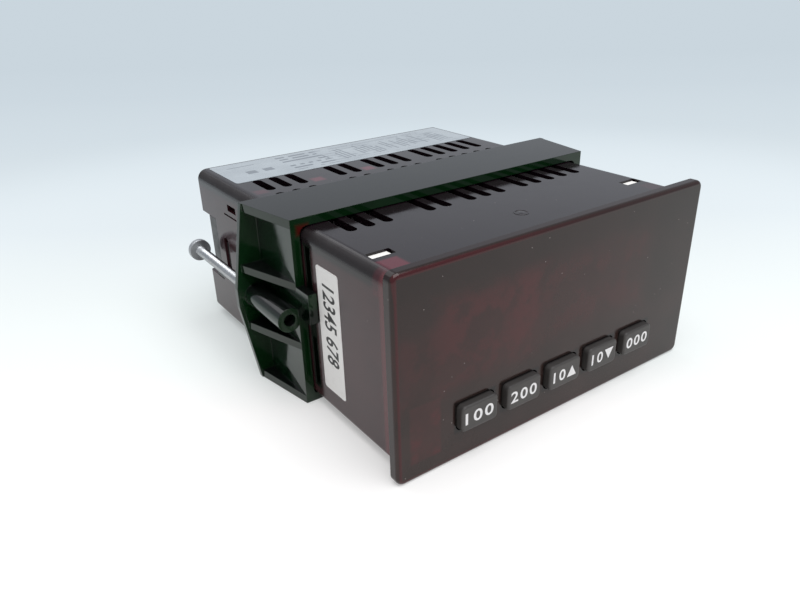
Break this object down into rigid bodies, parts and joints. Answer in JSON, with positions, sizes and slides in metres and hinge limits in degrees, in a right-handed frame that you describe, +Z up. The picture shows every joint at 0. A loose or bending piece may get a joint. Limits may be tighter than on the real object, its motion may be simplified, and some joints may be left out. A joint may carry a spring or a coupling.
{
  "type": "panel meter",
  "caption": "Flush-mounted digital panel meter: thin bezel with a smoked window and raised rubber keys, vented one-piece case, screwed latch frame, plug-on terminals at the rear.",
  "frame": {"origin": "centre of the panel cut-out, in the plane of the bezel's back face", "axes": "-Y looks out of the front, +Y runs into the depth behind the panel, +X is to the right seen from the front, +Z is up"},
  "size_m": [0.111, 0.1077, 0.0494],
  "materials": {
    "smoked_case": "smoked dark red translucent moulding, fine satin gloss",
    "latch_black": "black moulding, glossy",
    "zinc_screw": "bright zinc plate",
    "key_rubber": "dark grey silicone rubber, satin",
    "mat_rubber": "dark grey silicone rubber, satin",
    "carrier_white": "white moulding, satin",
    "board_green": "glass-fibre board with green lacquer",
    "digit_red": "red tinted digit block",
    "lamp_clear": "milky light block",
    "connector_black": "black connector body",
    "ferrite": "dark ferrite core, matte",
    "winding_tape": "yellow tape over a winding",
    "capacitor_sleeve": "dark blue shrink sleeve",
    "film_orange": "orange dipped body",
    "chip_black": "black chip body",
    "cover_black": "black moulding, fine texture",
    "terminal_green": "green terminal moulding",
    "terminal_metal": "tin plated clamp metal",
    "label_silver": "pale label film",
    "label_white": "white label film"
  },
  "bodies": {
    "meter": {"bezel_case": "smoked_case", "keypad_mat": "mat_rubber", "display_carrier": "carrier_white", "display_board": "board_green", "side_lamps": "lamp_clear", "units_backlight": "lamp_clear", "main_board": "board_green", "board_link": "connector_black", "transformer_core": "ferrite", "transformer_winding": "winding_tape", "supply_capacitor": "capacitor_sleeve", "filter_capacitor": "capacitor_sleeve", "film_capacitor": "film_orange", "processor_chip": "chip_black", "converter_chip": "chip_black", "option_connector_1": "connector_black", "option_connector_2": "connector_black", "option_connector_3": "connector_black", "range_jumpers": "connector_black", "rear_cover": "cover_black", "input_terminal_block": "terminal_green", "power_terminal_block": "terminal_green", "terminal_screws": "terminal_metal", "terminal_clamps": "terminal_metal", "input_header": "terminal_green", "power_header": "terminal_green", "rating_label": "label_silver", "side_label": "label_white", "digit_1": "digit_red", "digit_2": "digit_red", "digit_3": "digit_red", "digit_4": "digit_red", "digit_5": "digit_red"},
    "latch": {"panel_latch": "latch_black"},
    "screw_left": {"panel_screw_left": "zinc_screw"},
    "screw_right": {"panel_screw_right": "zinc_screw"},
    "key_1": {"key_1": "key_rubber"},
    "key_2": {"key_2": "key_rubber"},
    "key_3": {"key_3": "key_rubber"},
    "key_4": {"key_4": "key_rubber"},
    "key_5": {"key_5": "key_rubber"}
  },
  "joints": [
    {"name": "latch_slide", "type": "slide", "parent": "meter", "child": "latch", "axis": [0, 1, 0], "range_m": [-0.028, 0.06]},
    {"name": "screw_left_advance", "type": "slide", "parent": "latch", "child": "screw_left", "axis": [0, 1, 0], "range_m": [-0.0377, 0.012]},
    {"name": "screw_right_advance", "type": "slide", "parent": "latch", "child": "screw_right", "axis": [0, 1, 0], "range_m": [-0.0377, 0.012]},
    {"name": "key_1_press", "type": "slide", "parent": "meter", "child": "key_1", "axis": [0, 1, 0], "range_m": [0, 0.001], "stiffness_N_per_m": 1200, "springref_m": -0.0004},
    {"name": "key_2_press", "type": "slide", "parent": "meter", "child": "key_2", "axis": [0, 1, 0], "range_m": [0, 0.001], "stiffness_N_per_m": 1200, "springref_m": -0.0004},
    {"name": "key_3_press", "type": "slide", "parent": "meter", "child": "key_3", "axis": [0, 1, 0], "range_m": [0, 0.001], "stiffness_N_per_m": 1200, "springref_m": -0.0004},
    {"name": "key_4_press", "type": "slide", "parent": "meter", "child": "key_4", "axis": [0, 1, 0], "range_m": [0, 0.001], "stiffness_N_per_m": 1200, "springref_m": -0.0004},
    {"name": "key_5_press", "type": "slide", "parent": "meter", "child": "key_5", "axis": [0, 1, 0], "range_m": [0, 0.001], "stiffness_N_per_m": 1200, "springref_m": -0.0004}
  ]
}
